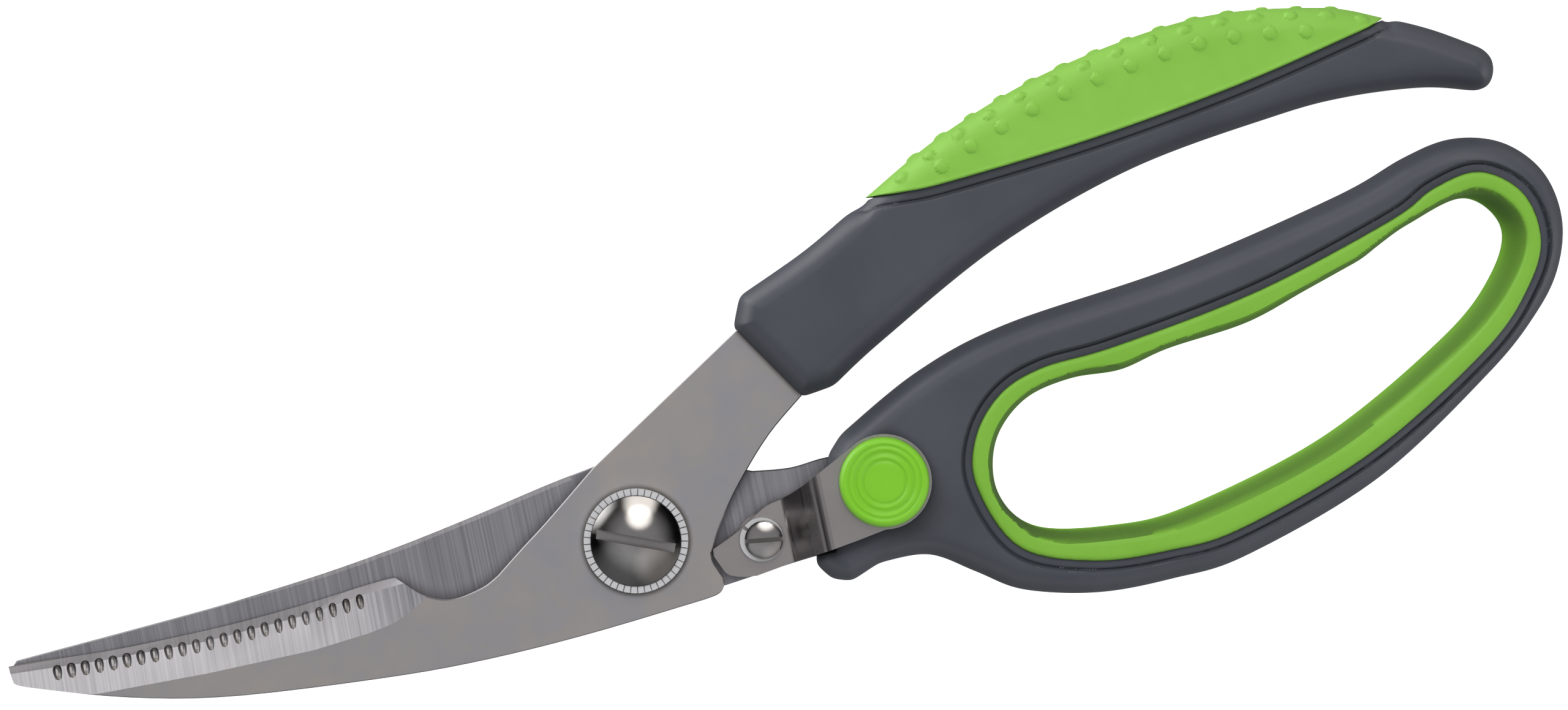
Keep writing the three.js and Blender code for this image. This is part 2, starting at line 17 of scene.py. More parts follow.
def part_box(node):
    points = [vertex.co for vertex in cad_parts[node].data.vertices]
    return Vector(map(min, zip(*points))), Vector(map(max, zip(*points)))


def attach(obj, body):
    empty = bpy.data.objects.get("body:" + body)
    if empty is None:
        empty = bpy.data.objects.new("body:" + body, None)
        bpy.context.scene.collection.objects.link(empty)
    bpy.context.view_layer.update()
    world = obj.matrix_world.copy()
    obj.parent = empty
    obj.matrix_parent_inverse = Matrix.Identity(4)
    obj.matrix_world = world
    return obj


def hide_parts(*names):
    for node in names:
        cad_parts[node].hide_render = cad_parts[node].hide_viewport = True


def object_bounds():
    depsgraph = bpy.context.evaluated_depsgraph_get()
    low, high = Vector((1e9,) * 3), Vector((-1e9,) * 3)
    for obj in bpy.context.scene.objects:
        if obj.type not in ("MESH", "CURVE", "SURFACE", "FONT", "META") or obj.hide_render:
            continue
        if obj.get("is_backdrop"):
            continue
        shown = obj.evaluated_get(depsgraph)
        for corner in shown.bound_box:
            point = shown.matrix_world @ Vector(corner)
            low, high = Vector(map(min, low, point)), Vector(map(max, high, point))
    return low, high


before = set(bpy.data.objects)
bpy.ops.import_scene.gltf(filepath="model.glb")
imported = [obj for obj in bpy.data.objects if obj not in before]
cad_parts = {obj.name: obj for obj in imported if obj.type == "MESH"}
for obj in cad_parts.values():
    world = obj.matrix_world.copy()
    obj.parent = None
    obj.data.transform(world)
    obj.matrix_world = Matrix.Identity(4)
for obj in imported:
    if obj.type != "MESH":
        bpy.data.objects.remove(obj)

MM = 0.001


def plain_box():
    """The shown object's lowest and highest corner, in metres."""
    bpy.context.view_layer.update()
    return [[round(v, 6) for v in corner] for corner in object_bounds()]


CAD_BOX = plain_box()
BLADE_GAP = 0.1  # between each blade and the plane that they slide on
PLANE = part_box("front_blade")[0].z / MM - BLADE_GAP  # the height of that plane

# ---------------------------------------------------------------- outlines

FEWEST_POINTS = 8
OUTLINE_STEP = 0.45  # from point to point along an outline
OUTLINE_SOFTENING = 0.7
TINY = 1e-12


def spline(points, per=12):
    """A smooth curve through the points, without its last one."""
    p = np.array(points, float)
    last = len(p) - 1
    t = (np.arange(per) / per)[:, None]
    parts = []
    for i in range(last):
        a, b, c, d = p[max(i - 1, 0)], p[i], p[i + 1], p[min(i + 2, last)]
        v0, v1 = (c - a) / 2, (d - b) / 2
        cubic = 2 * b - 2 * c + v0 + v1
        square = 3 * c - 3 * b - 2 * v0 - v1
        parts.append(cubic * t**3 + square * t**2 + v0 * t + b)
    return np.concatenate(parts)


def closed_spline(points, per=12):
    """A smooth closed curve through the points."""
    n = len(points)
    run = spline([points[-1], *points, points[0], points[1]], per)
    return run[per : per * (n + 1)]


def outline(start, *runs):
    """A closed outline: a run of one point is a straight line to it, a longer run is a smooth curve."""
    here = start
    parts = []
    for run in runs:
        parts.append(np.array([here], float) if len(run) == 1 else spline([here, *run]))
        here = run[-1]
    parts.append(np.array([here], float))
    return np.concatenate(parts)


def resampled(loop, step, closed=True):
    """The same line with points at an even distance along it."""
    line = np.vstack([loop, loop[:1]]) if closed else loop
    along = np.concatenate([[0], np.cumsum(np.linalg.norm(np.diff(line, axis=0), axis=1))])
    count = max(int(round(along[-1] / step)), FEWEST_POINTS)
    at = np.linspace(0, along[-1], count + 1)
    if closed:
        at = at[:-1]
    return np.stack([np.interp(at, along, line[:, k]) for k in (0, 1)], axis=1)


def softened(loop):
    """A closed outline, evenly sampled, with its corners rounded and its curves evened out."""
    fine = resampled(loop, OUTLINE_STEP)
    reach = int(math.ceil(3 * OUTLINE_SOFTENING / OUTLINE_STEP))
    weights = np.exp(-0.5 * (np.arange(-reach, reach + 1) * OUTLINE_STEP / OUTLINE_SOFTENING) ** 2)
    weights /= weights.sum()
    out = np.zeros_like(fine)
    for shift, weight in zip(range(-reach, reach + 1), weights):
        out += weight * np.roll(fine, shift, axis=0)
    return out


def normals_in(loop):
    """Unit normals of a closed outline, pointing to its inside."""
    ahead = np.roll(loop, -1, axis=0) - np.roll(loop, 1, axis=0)
    ahead /= np.linalg.norm(ahead, axis=1)[:, None]
    area = np.sum(loop[:, 0] * np.roll(loop[:, 1], -1) - np.roll(loop[:, 0], -1) * loop[:, 1])
    side = 1 if area > 0 else -1
    return side * np.stack([-ahead[:, 1], ahead[:, 0]], axis=1)


def tree_of(points):
    """A search tree of flat points."""
    tree = KDTree(len(points))
    for i, (x, y) in enumerate(points):
        tree.insert((x, y, 0), i)
    tree.balance()
    return tree


def nearest_of(points, line):
    """The index of the line's sample nearest to each point."""
    tree = tree_of(line)
    return np.array([tree.find((x, y, 0))[1] for x, y in points], int)


def distance(points, line, closed=True):
    """Each point's distance to a finely sampled line, from the two pieces at its nearest sample."""
    nearest = nearest_of(points, line)
    last = len(line) - 1
    best = np.full(len(points), np.inf)
    for start in (nearest - 1, nearest):
        if closed:
            a, b = line[start % (last + 1)], line[(start + 1) % (last + 1)]
        else:
            a, b = line[np.clip(start, 0, last - 1)], line[np.clip(start + 1, 1, last)]
        ab = b - a
        t = np.clip(((points - a) * ab).sum(1) / np.maximum((ab**2).sum(1), TINY), 0, 1)
        best = np.minimum(best, np.linalg.norm(points - a - t[:, None] * ab, axis=1))
    return best


def facing(points, loop):
    """The outline's inward normal beside each point."""
    return normals_in(loop)[nearest_of(points, loop)]


def inside(points, loop):
    """Whether each point is inside a closed outline."""
    x, y = points[:, 0], points[:, 1]
    found = np.zeros(len(points), bool)
    for (x0, y0), (x1, y1) in zip(loop, np.roll(loop, -1, axis=0)):
        if y0 == y1:
            continue
        crosses = (y0 > y) != (y1 > y)
        found ^= crosses & (x < (x1 - x0) * (y - y0) / (y1 - y0) + x0)
    return found


def added(kept, group, gap):
    """The kept points and those of the group that lie further than the gap from all others."""
    tree = tree_of(kept)
    cells = {}
    fresh = []
    for x, y in group:
        i, j = int(x // gap), int(y // gap)
        around = [(a, b) for a in (i - 1, i, i + 1) for b in (j - 1, j, j + 1)]
        near = (q for cell in around for q in cells.get(cell, ()))
        if any((q[0] - x) ** 2 + (q[1] - y) ** 2 < gap * gap for q in near):
            continue
        if tree.find((x, y, 0))[2] < gap:
            continue
        cells.setdefault((i, j), []).append((x, y))
        fresh.append((x, y))
    return np.vstack([kept, fresh]) if fresh else kept


# ---------------------------------------------------------------- meshes

EDGE_GAP = 0.009  # the least distance between points beside a rounded edge
SEAM_GAP = 0.1  # and beside a seam
GRID_GAP = 0.6  # and on a grid, as a share of its spacing
FOLDED = 0.97  # a ring's point that is closer to its outline than this share of its offset is left out
SHARP_ANGLE = math.radians(40)


def grid(low, high, step):
    """Points on a grid of equal triangles."""
    rows = np.arange(low[1], high[1], step * math.sqrt(3) / 2)
    out = []
    for k, y in enumerate(rows):
        xs = np.arange(low[0] + (step / 2) * (k % 2), high[0], step)
        out.append(np.stack([xs, np.full(len(xs), y)], axis=1))
    return np.concatenate(out)


def sheet(loops, lines, rings, rows, keep, grids):
    """Triangles over a flat region. Returns the points and the triangles.

    loops are closed outlines that the triangles follow, each with whether its edge is rounded; lines are
    open ones; grids are points with their spacing. Rings of points run beside a rounded edge and rows
    beside the others.
    """
    edges = []
    start = 0
    for line, closed in [(loop, True) for loop, _ in loops] + [(line, False) for line in lines]:
        n = len(line)
        edges += [(start + i, start + (i + 1) % n) for i in range(n if closed else n - 1)]
        start += n
    beside_edges, beside_seams = [], []
    for loop, ringed in loops:
        inward = normals_in(loop)
        for offset in rings if ringed else rows:
            for side in (1, -1):
                moved = loop + side * offset * inward
                moved = moved[distance(moved, loop) > FOLDED * offset]
                (beside_edges if ringed else beside_seams).append(moved)
    for line in lines:
        ahead = np.gradient(line, axis=0)
        ahead /= np.linalg.norm(ahead, axis=1)[:, None]
        across = np.stack([-ahead[:, 1], ahead[:, 0]], axis=1)
        for offset in rows:
            beside_seams += [line + offset * across, line - offset * across]
    points = np.concatenate([loop for loop, _ in loops] + lines)
    groups = [(beside_edges, EDGE_GAP), (beside_seams, SEAM_GAP)]
    groups += [([spread], GRID_GAP * step) for spread, step in grids]
    for group, gap in groups:
        group = np.concatenate(group)
        points = added(points, group[keep(group)], gap)
    made = delaunay_2d_cdt([Vector(p) for p in points], edges, [], 0, 1e-6)
    flat = np.array([(v.x, v.y) for v in made[0]])
    return flat, np.array([f for f in made[2] if len(f) == 3])


def raised(name, flat, faces, top, wall_steps):
    """A closed solid over those triangles.

    Its front stands at the height top, its back mirrors it, and walls close it along the region's border.
    """
    used = np.unique(faces)
    index = -np.ones(len(flat), int)
    index[used] = np.arange(len(used))
    faces = index[faces]
    flat = flat[used]
    a, b, c = (flat[faces[:, k]] for k in range(3))
    turn = (b[:, 0] - a[:, 0]) * (c[:, 1] - a[:, 1]) - (b[:, 1] - a[:, 1]) * (c[:, 0] - a[:, 0])
    faces[turn < 0] = faces[turn < 0][:, ::-1]
    n = len(flat)
    high = top(flat)
    low = -high
    verts = [np.column_stack([flat, high]), np.column_stack([flat, low])]
    polys = [tuple(f) for f in faces] + [tuple(f[::-1] + n) for f in faces]
    directed = set()
    for f in faces:
        directed |= {(f[0], f[1]), (f[1], f[2]), (f[2], f[0])}
    border = [(i, j) for i, j in directed if (j, i) not in directed]
    columns = {}
    total = 2 * n
    extra = []
    for i in sorted({i for edge in border for i in edge}):
        middle = []
        for k in range(1, wall_steps):
            z = high[i] + (low[i] - high[i]) * k / wall_steps
            extra.append((*flat[i], z))
            middle.append(total)
            total += 1
        columns[i] = [i, *middle, i + n]
    if extra:
        verts.append(np.array(extra))
    for i, j in border:
        for k in range(wall_steps):
            polys.append((columns[j][k], columns[i][k], columns[i][k + 1], columns[j][k + 1]))
    mesh = bpy.data.meshes.new(name)
    points = np.concatenate(verts)
    points[:, 2] += PLANE
    mesh.from_pydata((points * MM).tolist(), [], [tuple(map(int, p)) for p in polys])
    mesh.update()
    return mesh


def turned(name, profile, centre, segments):
    """A closed profile of [radius, height] points, from the axis to the axis, turned round Z."""
    made = bmesh.new()
    rings = []
    for radius, height in profile:
        z = (height + PLANE) * MM
        if radius == 0:
            rings.append([made.verts.new((centre[0] * MM, centre[1] * MM, z))] * segments)
            continue
        ring = []
        for i in range(segments):
            angle = 2 * math.pi * i / segments
            x, y = centre[0] + radius * math.cos(angle), centre[1] + radius * math.sin(angle)
            ring.append(made.verts.new((x * MM, y * MM, z)))
        rings.append(ring)
    for lower, upper in zip(rings, rings[1:]):
        for i in range(segments):
            j = (i + 1) % segments
            corners = [lower[i], lower[j], upper[j], upper[i]]
            unique = [v for k, v in enumerate(corners) if v not in corners[:k]]
            if len(unique) > 2:
                made.faces.new(unique)
    bmesh.ops.recalc_face_normals(made, faces=made.faces)
    mesh = bpy.data.meshes.new(name)
    made.to_mesh(mesh)
    made.free()
    return mesh


def shown(name, mesh, body, node, material):
    """A new piece that stands for a CAD node."""
    mesh.polygons.foreach_set("use_smooth", [True] * len(mesh.polygons))
    mesh.set_sharp_from_angle(angle=SHARP_ANGLE)
    piece = bpy.data.objects.new(name, mesh)
    bpy.context.scene.collection.objects.link(piece)
    piece.data.materials.append(material)
    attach(piece, body)
    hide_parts(node)
    return piece


# ---------------------------------------------------------------- materials

NOISE_LOW = 0.3  # most noise lies between these
NOISE_HIGH = 0.7
OPEN = 0.9  # the share of open surroundings that keeps a surface free of painted shade
CLOSED = 0.3  # and the share at which it takes all of it
# A Mix node has sockets of the same name for each type of data. These are its colour sockets.
MIX_A = 6
MIX_B = 7
MIX_RESULT = 2


class Graph:
    """Shorthand for the nodes of one material."""

    def __init__(self, name):
        self.material = bpy.data.materials.new(name)
        self.material.use_nodes = True
        self.nodes = self.material.node_tree.nodes
        self.links = self.material.node_tree.links
        self.surface = self.nodes["Principled BSDF"]
        self.place = self.add("ShaderNodeTexCoord").outputs["Object"]

    def add(self, kind, **settings):
        made = self.nodes.new(kind)
        for key, value in settings.items():
            setattr(made, key, value)
        return made

    def put(self, value, socket):
        if isinstance(value, bpy.types.NodeSocket):
            self.links.new(value, socket)
        else:
            socket.default_value = value

    def scaled(self, scale, turn):
        made = self.add("ShaderNodeMapping")
        self.put(self.place, made.inputs["Vector"])
        made.inputs["Rotation"].default_value = (0, 0, turn)
        made.inputs["Scale"].default_value = scale if isinstance(scale, tuple) else (scale, scale, scale)
        return made.outputs["Vector"]

    def noise(self, scale, detail, roughness, turn=0.0):
        """Noise of 0 to 1. scale is how many of its grains fit in a metre, or that along each axis."""
        made = self.add("ShaderNodeTexNoise")
        self.put(self.scaled(scale, turn), made.inputs["Vector"])
        made.inputs["Scale"].default_value = 1.0
        made.inputs["Detail"].default_value = detail
        made.inputs["Roughness"].default_value = roughness
        return made.outputs["Fac"]

    def mapped(self, value, low, high, start=NOISE_LOW, end=NOISE_HIGH):
        """low where the value is start or less, high where it is end or more, and even between them."""
        made = self.add("ShaderNodeMapRange")
        self.put(value, made.inputs["Value"])
        for key, number in (("From Min", start), ("From Max", end), ("To Min", low), ("To Max", high)):
            made.inputs[key].default_value = number
        return made.outputs["Result"]

    def mixed(self, factor, a, b):
        """Colour a where the factor is 0 and b where it is 1."""
        made = self.add("ShaderNodeMix", data_type="RGBA")
        self.put(factor, made.inputs["Factor"])
        self.put(a, made.inputs[MIX_A])
        self.put(b, made.inputs[MIX_B])
        return made.outputs[MIX_RESULT]

    def maths(self, operation, a, b=0.0):
        """One operation on two values, or on one where it takes only one."""
        made = self.add("ShaderNodeMath", operation=operation)
        self.put(a, made.inputs[0])
        self.put(b, made.inputs[1])
        return made.outputs[0]

    def bumped(self, height, distance_mm, strength, under=None):
        made = self.add("ShaderNodeBump")
        self.put(height, made.inputs["Height"])
        made.inputs["Distance"].default_value = distance_mm * MM
        made.inputs["Strength"].default_value = strength
        if under is not None:
            self.put(under, made.inputs["Normal"])
        return made.outputs["Normal"]

    def shaded_in_hollows(self, colour, shade_tint, reach_mm, most):
        """The colour, mixed with a tint of painted shade in hollows and where another piece is close."""
        # painted shade: ambient occlusion finds the hollows and the places beside close pieces
        shade = self.add("ShaderNodeAmbientOcclusion", samples=6)
        shade.inputs["Distance"].default_value = reach_mm * MM
        return self.mixed(self.mapped(shade.outputs["AO"], most, 0.0, CLOSED, OPEN), colour, shade_tint)

    def upright(self, normal):
        """1 where the surface faces along Z and 0 on a wall that stands beside Z."""
        parts = self.add("ShaderNodeSeparateXYZ")
        self.put(self.add("ShaderNodeNewGeometry").outputs[normal], parts.inputs[0])
        return self.maths("ABSOLUTE", parts.outputs["Z"])

    def finish(self, **values):
        for key, value in values.items():
            self.put(value, self.surface.inputs[key])
        return self.material


def linear(r, g, b):
    """An sRGB colour as linear RGBA. Each of its parts is from 11 to 255."""
    return tuple(((c / 255 + 0.055) / 1.055) ** 2.4 for c in (r, g, b)) + (1.0,)


# The grinding lines lean this far from the part's Y axis. Each scale is grains in a metre.
GRIND_LEAN = math.radians(12)
FINE_LINES = (9000, 60, 60)
WIDE_LINES = (2600, 12, 12)
# How upright a face's normal is: from all ground to all flat, and from all steep to not steep.
FLAT_FROM = (0.985, 0.9995)
STEEP_UNTIL = (0.84, 0.91)
# How much each pattern adds to the roughness, at its low end and its high end.
STREAK_ROUGH = (-0.06, 0.07)
CLOUD_ROUGH = (-0.02, 0.02)
GRAIN_ROUGH = (-0.06, 0.06)
WEAR_ROUGH = (-0.25, 0.45)  # this one as a share of the roughness itself
TURNED_LINES = (6000, 500, 6000)
STEEP_SHADE_SHARE = 0.85  # how much of a darker tint of painted shade a steep face of steel takes
GRAIN_SHARE = 0.3  # how deep the grain is beside the grinding lines


def satin_steel(name, flat_tints, ground_tints, roughness, shade, all_ground=False):
    """Satin steel whose ground faces carry fine grinding lines. A face that leans off Z is ground.

    roughness is that of a flat face and that of a ground one. shade is the painted shade in hollows and
    beside close pieces: its tint, how far it reaches in mm and how much of the tint it takes. Steep faces
    take a darker tint of painted shade too.
    """
    g = Graph(name)
    fine = g.noise(FINE_LINES, detail=3.0, roughness=0.6, turn=GRIND_LEAN)
    wide = g.noise(WIDE_LINES, detail=4.0, roughness=0.62, turn=GRIND_LEAN)
    cloud = g.noise(80, detail=4.0, roughness=0.65)
    grain = g.noise(5200, detail=2.0, roughness=0.6)
    upright = g.upright("True Normal")
    ground = 1.0 if all_ground else g.mapped(upright, 1.0, 0.0, *FLAT_FROM)
    steep = g.mapped(upright, 1.0, 0.0, *STEEP_UNTIL)
    tint = g.mixed(g.mapped(cloud, 0, 1), *flat_tints)
    streaks = g.mixed(g.mapped(wide, 0, 1), *ground_tints)
    # painted shade: steep faces take a darker tint
    colour = g.mixed(g.maths("MULTIPLY", steep, STEEP_SHADE_SHARE), g.mixed(ground, tint, streaks), STEEP_SHADE_TINT)
    depth = g.maths("MULTIPLY", fine, ground)
    relief = g.maths("ADD", depth, g.maths("MULTIPLY", grain, GRAIN_SHARE))
    streaked = g.maths("MULTIPLY", g.mapped(wide, *STREAK_ROUGH), ground)
    clouded = g.mapped(cloud, *CLOUD_ROUGH)
    level = g.mapped(ground, *roughness, 0, 1)
    rough = g.maths("ADD", g.maths("ADD", streaked, clouded), level)
    return g.finish(**{
        # painted shade in hollows and beside close pieces
        "Base Color": g.shaded_in_hollows(colour, *shade),
        "Metallic": 1.0,
        "Roughness": rough,
        "Normal": g.bumped(relief, distance_mm=0.006, strength=0.6),
    })


WORN = 0.86  # how bright worn steel is beside clean steel


def polished(name, colour, roughness, marks=1400, shade_and_grime_mm=0.6, shade_and_grime=0.8, metallic=1.0):
    """Bright steel with faint wear in its gloss and a brownish tint of grime and painted shade in its
    hollows and beside close pieces. marks is the scale of its finest marks.
    """
    g = Graph(name)
    wear = g.noise(260, detail=4.0, roughness=0.6)
    fine = g.noise(marks, detail=3.0, roughness=0.6)
    tint = g.mixed(g.mapped(wear, 0, 1), colour, tuple(WORN * c for c in colour[:3]) + (1.0,))
    worn = g.mapped(wear, *(share * roughness for share in WEAR_ROUGH))
    rough = g.maths("ADD", roughness, worn)
    return g.finish(**{
        # a brownish tint of grime and painted shade in hollows and beside close pieces
        "Base Color": g.shaded_in_hollows(tint, SHADE_AND_GRIME, shade_and_grime_mm, shade_and_grime),
        "Metallic": metallic,
        "Roughness": rough,
        "Normal": g.bumped(fine, distance_mm=0.002, strength=0.6),
    })


WALL_SHADE_SHARE = 0.95  # how much of its tint of painted shade a steep wall takes
WALL_UNTIL = (0.25, 0.62)  # how upright its normal is, from all steep to not steep


def moulded(name, tints, roughness, grain_mm, depth_mm, subsurface=0.0, hollow=None, walls=None):
    """Moulded plastic or rubber with a fine even texture and slight colour drift between two tints.

    hollow is its tint of painted shade in hollows and beside close pieces, and walls its tint of painted
    shade where it stands steeply.
    """
    g = Graph(name)
    cloud = g.noise(70, detail=3.0, roughness=0.6)
    grain = g.noise(1 / (grain_mm * MM), detail=2.0, roughness=0.6)
    coarse = g.noise(420, detail=3.0, roughness=0.6)
    colour = g.mixed(g.mapped(cloud, 0, 1), *tints)
    # painted shade in hollows and beside close pieces, by ambient occlusion
    if hollow:
        colour = g.shaded_in_hollows(colour, hollow, reach_mm=1.6, most=0.9)
    # painted shade where the surface stands steeply
    if walls:
        steep = g.mapped(g.upright("Normal"), WALL_SHADE_SHARE, 0.0, *WALL_UNTIL)
        colour = g.mixed(steep, colour, walls)
    rough = g.maths("ADD", roughness, g.mapped(grain, *GRAIN_ROUGH))
    waves = g.bumped(coarse, distance_mm=0.02, strength=0.35)
    normal = g.bumped(grain, depth_mm, strength=0.7, under=waves)
    values = {"Base Color": colour, "Roughness": rough, "Normal": normal}
    if subsurface:
        g.surface.inputs["Subsurface Radius"].default_value = (0.6, 1.0, 0.3)
        g.surface.inputs["Subsurface Scale"].default_value = 0.8 * MM
        values["Subsurface Weight"] = subsurface
    return g.finish(**values)


SHADOW_TINT = linear(92, 88, 90)
# painted shade on steep faces of steel
STEEP_SHADE_TINT = linear(132, 128, 130)
# painted shade in the front blade's serration scoops and beside close pieces
SCOOP_SHADE_TINT = linear(132, 128, 122)
# brownish grime and painted shade, which polished steel takes in its hollows and beside close pieces
SHADE_AND_GRIME = linear(70, 62, 52)
SATIN_TINTS = (linear(228, 230, 238), linear(244, 237, 230))
GROUND_TINTS = (linear(190, 190, 196), linear(230, 230, 236))
REAR_TINTS = (linear(192, 192, 200), linear(236, 236, 242))
PLATE_TINTS = (linear(232, 226, 225), linear(240, 234, 233))
# painted shade: the latch plate's cranked wall and other faces that lean off Z take these darker tints
WALL_SHADE_TINTS = (linear(168, 163, 162), linear(186, 181, 180))
GREY_TINTS = (linear(66, 69, 77), linear(72, 75, 83))
# painted shade in the grey handles' creases and lands
GREY_HOLLOW_SHADE = linear(34, 40, 44)
PAD_TINTS = (linear(126, 183, 67), linear(134, 191, 76))
LINER_TINTS = (linear(118, 173, 57), linear(124, 179, 62))
# painted shade on the liner's steep inner wall
LINER_WALL_SHADE = linear(84, 124, 38)
BUTTON_TINTS = (linear(121, 191, 44), linear(127, 197, 50))
# painted shade in the button's grooves
BUTTON_HOLLOW_SHADE = linear(108, 174, 36)

# The painted shade in each steel's hollows and beside close pieces: its tint, its reach in mm and its
# strength.
FRONT_SHADE = (SCOOP_SHADE_TINT, 1.0, 2.4)
REAR_SHADE = (SHADOW_TINT, 2.4, 0.8)
PLATE_SHADE = (SHADOW_TINT, 0.5, 0.6)

FRONT_STEEL = satin_steel("blade_steel_satin", SATIN_TINTS, GROUND_TINTS, (0.4, 0.36), FRONT_SHADE)
REAR_STEEL = satin_steel("blade_steel_ground", SATIN_TINTS, REAR_TINTS, (0.4, 0.34), REAR_SHADE, True)
MIRROR = polished("polished_steel_bright", linear(230, 227, 224), 0.1, shade_and_grime_mm=1.0, shade_and_grime=0.75)
SATIN = polished("fitting_steel_satin", linear(236, 231, 230), 0.36, TURNED_LINES, 0.5, 0.6)
PLATE_STEEL = satin_steel("latch_plate_steel", PLATE_TINTS, WALL_SHADE_TINTS, (0.3, 0.28), PLATE_SHADE)
RING_STEEL = polished("ring_steel", linear(248, 249, 252), 0.36, shade_and_grime_mm=0.2, shade_and_grime=0.7, metallic=0.6)
SPRING_STEEL = polished("spring_steel", linear(150, 150, 154), 0.25)
GREY = moulded("grey_handle_plastic", GREY_TINTS, roughness=0.44, grain_mm=0.25, depth_mm=0.012,
               hollow=GREY_HOLLOW_SHADE)
PAD_GREEN = moulded("green_pad_rubber", PAD_TINTS, roughness=0.55, grain_mm=0.3, depth_mm=0.012,
                    subsurface=0.15)
LINER_GREEN = moulded("green_liner_rubber", LINER_TINTS, roughness=0.5, grain_mm=0.3, depth_mm=0.01,
                      subsurface=0.15, walls=LINER_WALL_SHADE)
BUTTON_GREEN = moulded("green_button_plastic", BUTTON_TINTS, roughness=0.33, grain_mm=0.4, depth_mm=0.006,
                       subsurface=0.1, hollow=BUTTON_HOLLOW_SHADE)

# ---------------------------------------------------------------- handles

TURN = math.radians(-12)  # the camera looks straight down at the front face, turned by this much
AIM = (28.75, 23.67)  # the point in the middle of its view
FRAME_WIDE = 246.9  # the width of its view on the blades' sliding plane
DISTANCE = 900  # its height over that plane

HANDLE_HALF = -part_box("loop_handle_body")[0].z / MM + PLANE  # half the handles' thickness
EDGE_WIDE = 4.0  # the handles' rounded edge, inwards and down
EDGE_HIGH = 6.0
SEAM_ROWS = np.concatenate([[0.1, 0.22, 0.38, 0.6, 0.85], np.arange(1.05, 2.5, 0.13)])
LAND_DEEP = 0.75  # the land beside a green piece lies this far under the grey face
LAND_STEP = (-0.15, 0.35)  # where its step runs, across its outer edge
LAND_FADE = (3, 6)  # on the rounded edge the land fades out between these heights
CREASE_DEEP = 0.2
CREASE_IN = 0.2  # the crease lies this far inside that edge
CREASE_WIDE = 0.16
PAD_LAND_WIDE = 1.8
LINER_LAND_WIDE = 1.5
BODY_WALL_STEPS = 4


def quarter(share):
    """A quarter circle that rises from 0 to 1 with the share, upright at its start."""
    t = np.clip(share, 0, 1)
    return np.sqrt(np.maximum(1 - (1 - t) ** 2, 0))


def crown(depth):
    """Half the handle's thickness at a distance inside its outline: a rounded edge, then flat."""
    return HANDLE_HALF - EDGE_HIGH * (1 - quarter(depth / EDGE_WIDE))


def ring_offsets(degrees):
    """Distances inside an outline at even angles round its rounded edge."""
    angles = np.radians(np.arange(degrees, 90 + degrees / 2, degrees))
    return EDGE_WIDE * (1 - np.cos(angles))


def smoothstep(value, start, end):
    """0 up to the start, 1 from the end on, and a smooth rise between them."""
    t = np.clip((value - start) / (end - start), 0, 1)
    return t * t * (3 - 2 * t)


def ridge(value, middle, wide):
    """A smooth ridge, 1 at its middle."""
    return np.exp(-(((value - middle) / wide) ** 2))


def recess(gap, wide):
    """How far the grey plastic drops beside a green piece: a step to a land, then a crease."""
    step = LAND_DEEP * (1 - smoothstep(gap, wide + LAND_STEP[0], wide + LAND_STEP[1]))
    return step + CREASE_DEEP * ridge(gap, wide - CREASE_IN, CREASE_WIDE)


def soft_lower(a, b, radius):
    """The lower of two heights, with the corner between them rounded."""
    return (a + b - np.sqrt((a - b) ** 2 + radius**2)) / 2


def rounding(depth, radius):
    """How far a rounded edge of that radius lies under the face, at a distance from the edge."""
    return radius * (1 - quarter(depth / radius))


def as_seen(points):
    """Points of a line on the front face, brought in by how much nearer that face is to the camera."""
    return np.array(AIM) + (np.array(points, float) - AIM) / (1 + HANDLE_HALF / DISTANCE)


upper_outline = softened(outline(
    [21.8, 29.5],
    [[23.8, 34.2]],
    [[34.1, 38.5], [40.5, 41.8], [46.6, 45.3], [60.8, 52.6], [79.6, 58.8], [102.9, 62.0], [122.2, 59.6],
     [131.9, 55.9], [139.0, 52.5], [146.1, 48.0]],
    [[147.2, 46.1], [147.0, 43.8], [145.9, 42.1], [144.6, 41.7], [143.2, 42.0]],
    [[135.9, 44.0], [124.1, 45.0], [112.2, 44.4], [88.5, 41.0], [65.7, 33.6], [44.4, 22.7], [35.4, 17.3]],
    [[30.1, 16.6]],
))

pad_seam = resampled(as_seen(np.vstack([
    spline([[44.9, 45.6], [47.0, 45.35], [52.4, 44.9], [60.3, 45.0], [83.8, 47.0], [107.3, 50.4],
            [126.7, 54.4], [130.6, 55.4], [132.4, 56.1], [134.0, 57.4]]),
    [[134.0, 57.4]],
])), OUTLINE_STEP, closed=False)
pad_region = np.vstack([pad_seam, [[134.0, 75], [44.9, 75]]])  # everything past the seam

# Each dent beside a pad tip: where along X, how wide, how deep. Only points above the line move.
DENTS = ((45.6, 2.0, 0.65), (132.3, 1.1, 0.5))
DENT_OVER = ((40, 35), (135, 50))
DENT_FADE = (0.5, 4.0)  # it fades out between these distances inside the outline
BUMP_RADIUS = 1.05
BUMP_FULLNESS = 0.7  # under 1, a bump is fuller than a half ellipse
CREST_STEP = 0.1
PAD_PROUD = 0.05
PAD_EDGE = 0.35  # the radius of the pad's lower edge
PAD_LIP = 0.12  # the height of a fine raised line along that edge
PAD_LIP_IN = 0.3
PAD_LIP_WIDE = 0.18
SEAM_PAST = 1.2  # the seam runs on past the outline by this much
PAD_WALL_STEPS = 10
PAD_SPACING = 0.3  # from point to point under the bumps
SPACING = 0.8  # and elsewhere on the handles
PAD_FIELD = ((44, 44), (134, 63))  # the low and high corner of each grid of points
UPPER_FIELD = ((20, 15), (150, 65))
LOOP_FIELD = ((25, -25), (155, 37))
UPPER_DEGREES = 4  # from ring to ring of points round the rounded edge
LOOP_DEGREES = 9
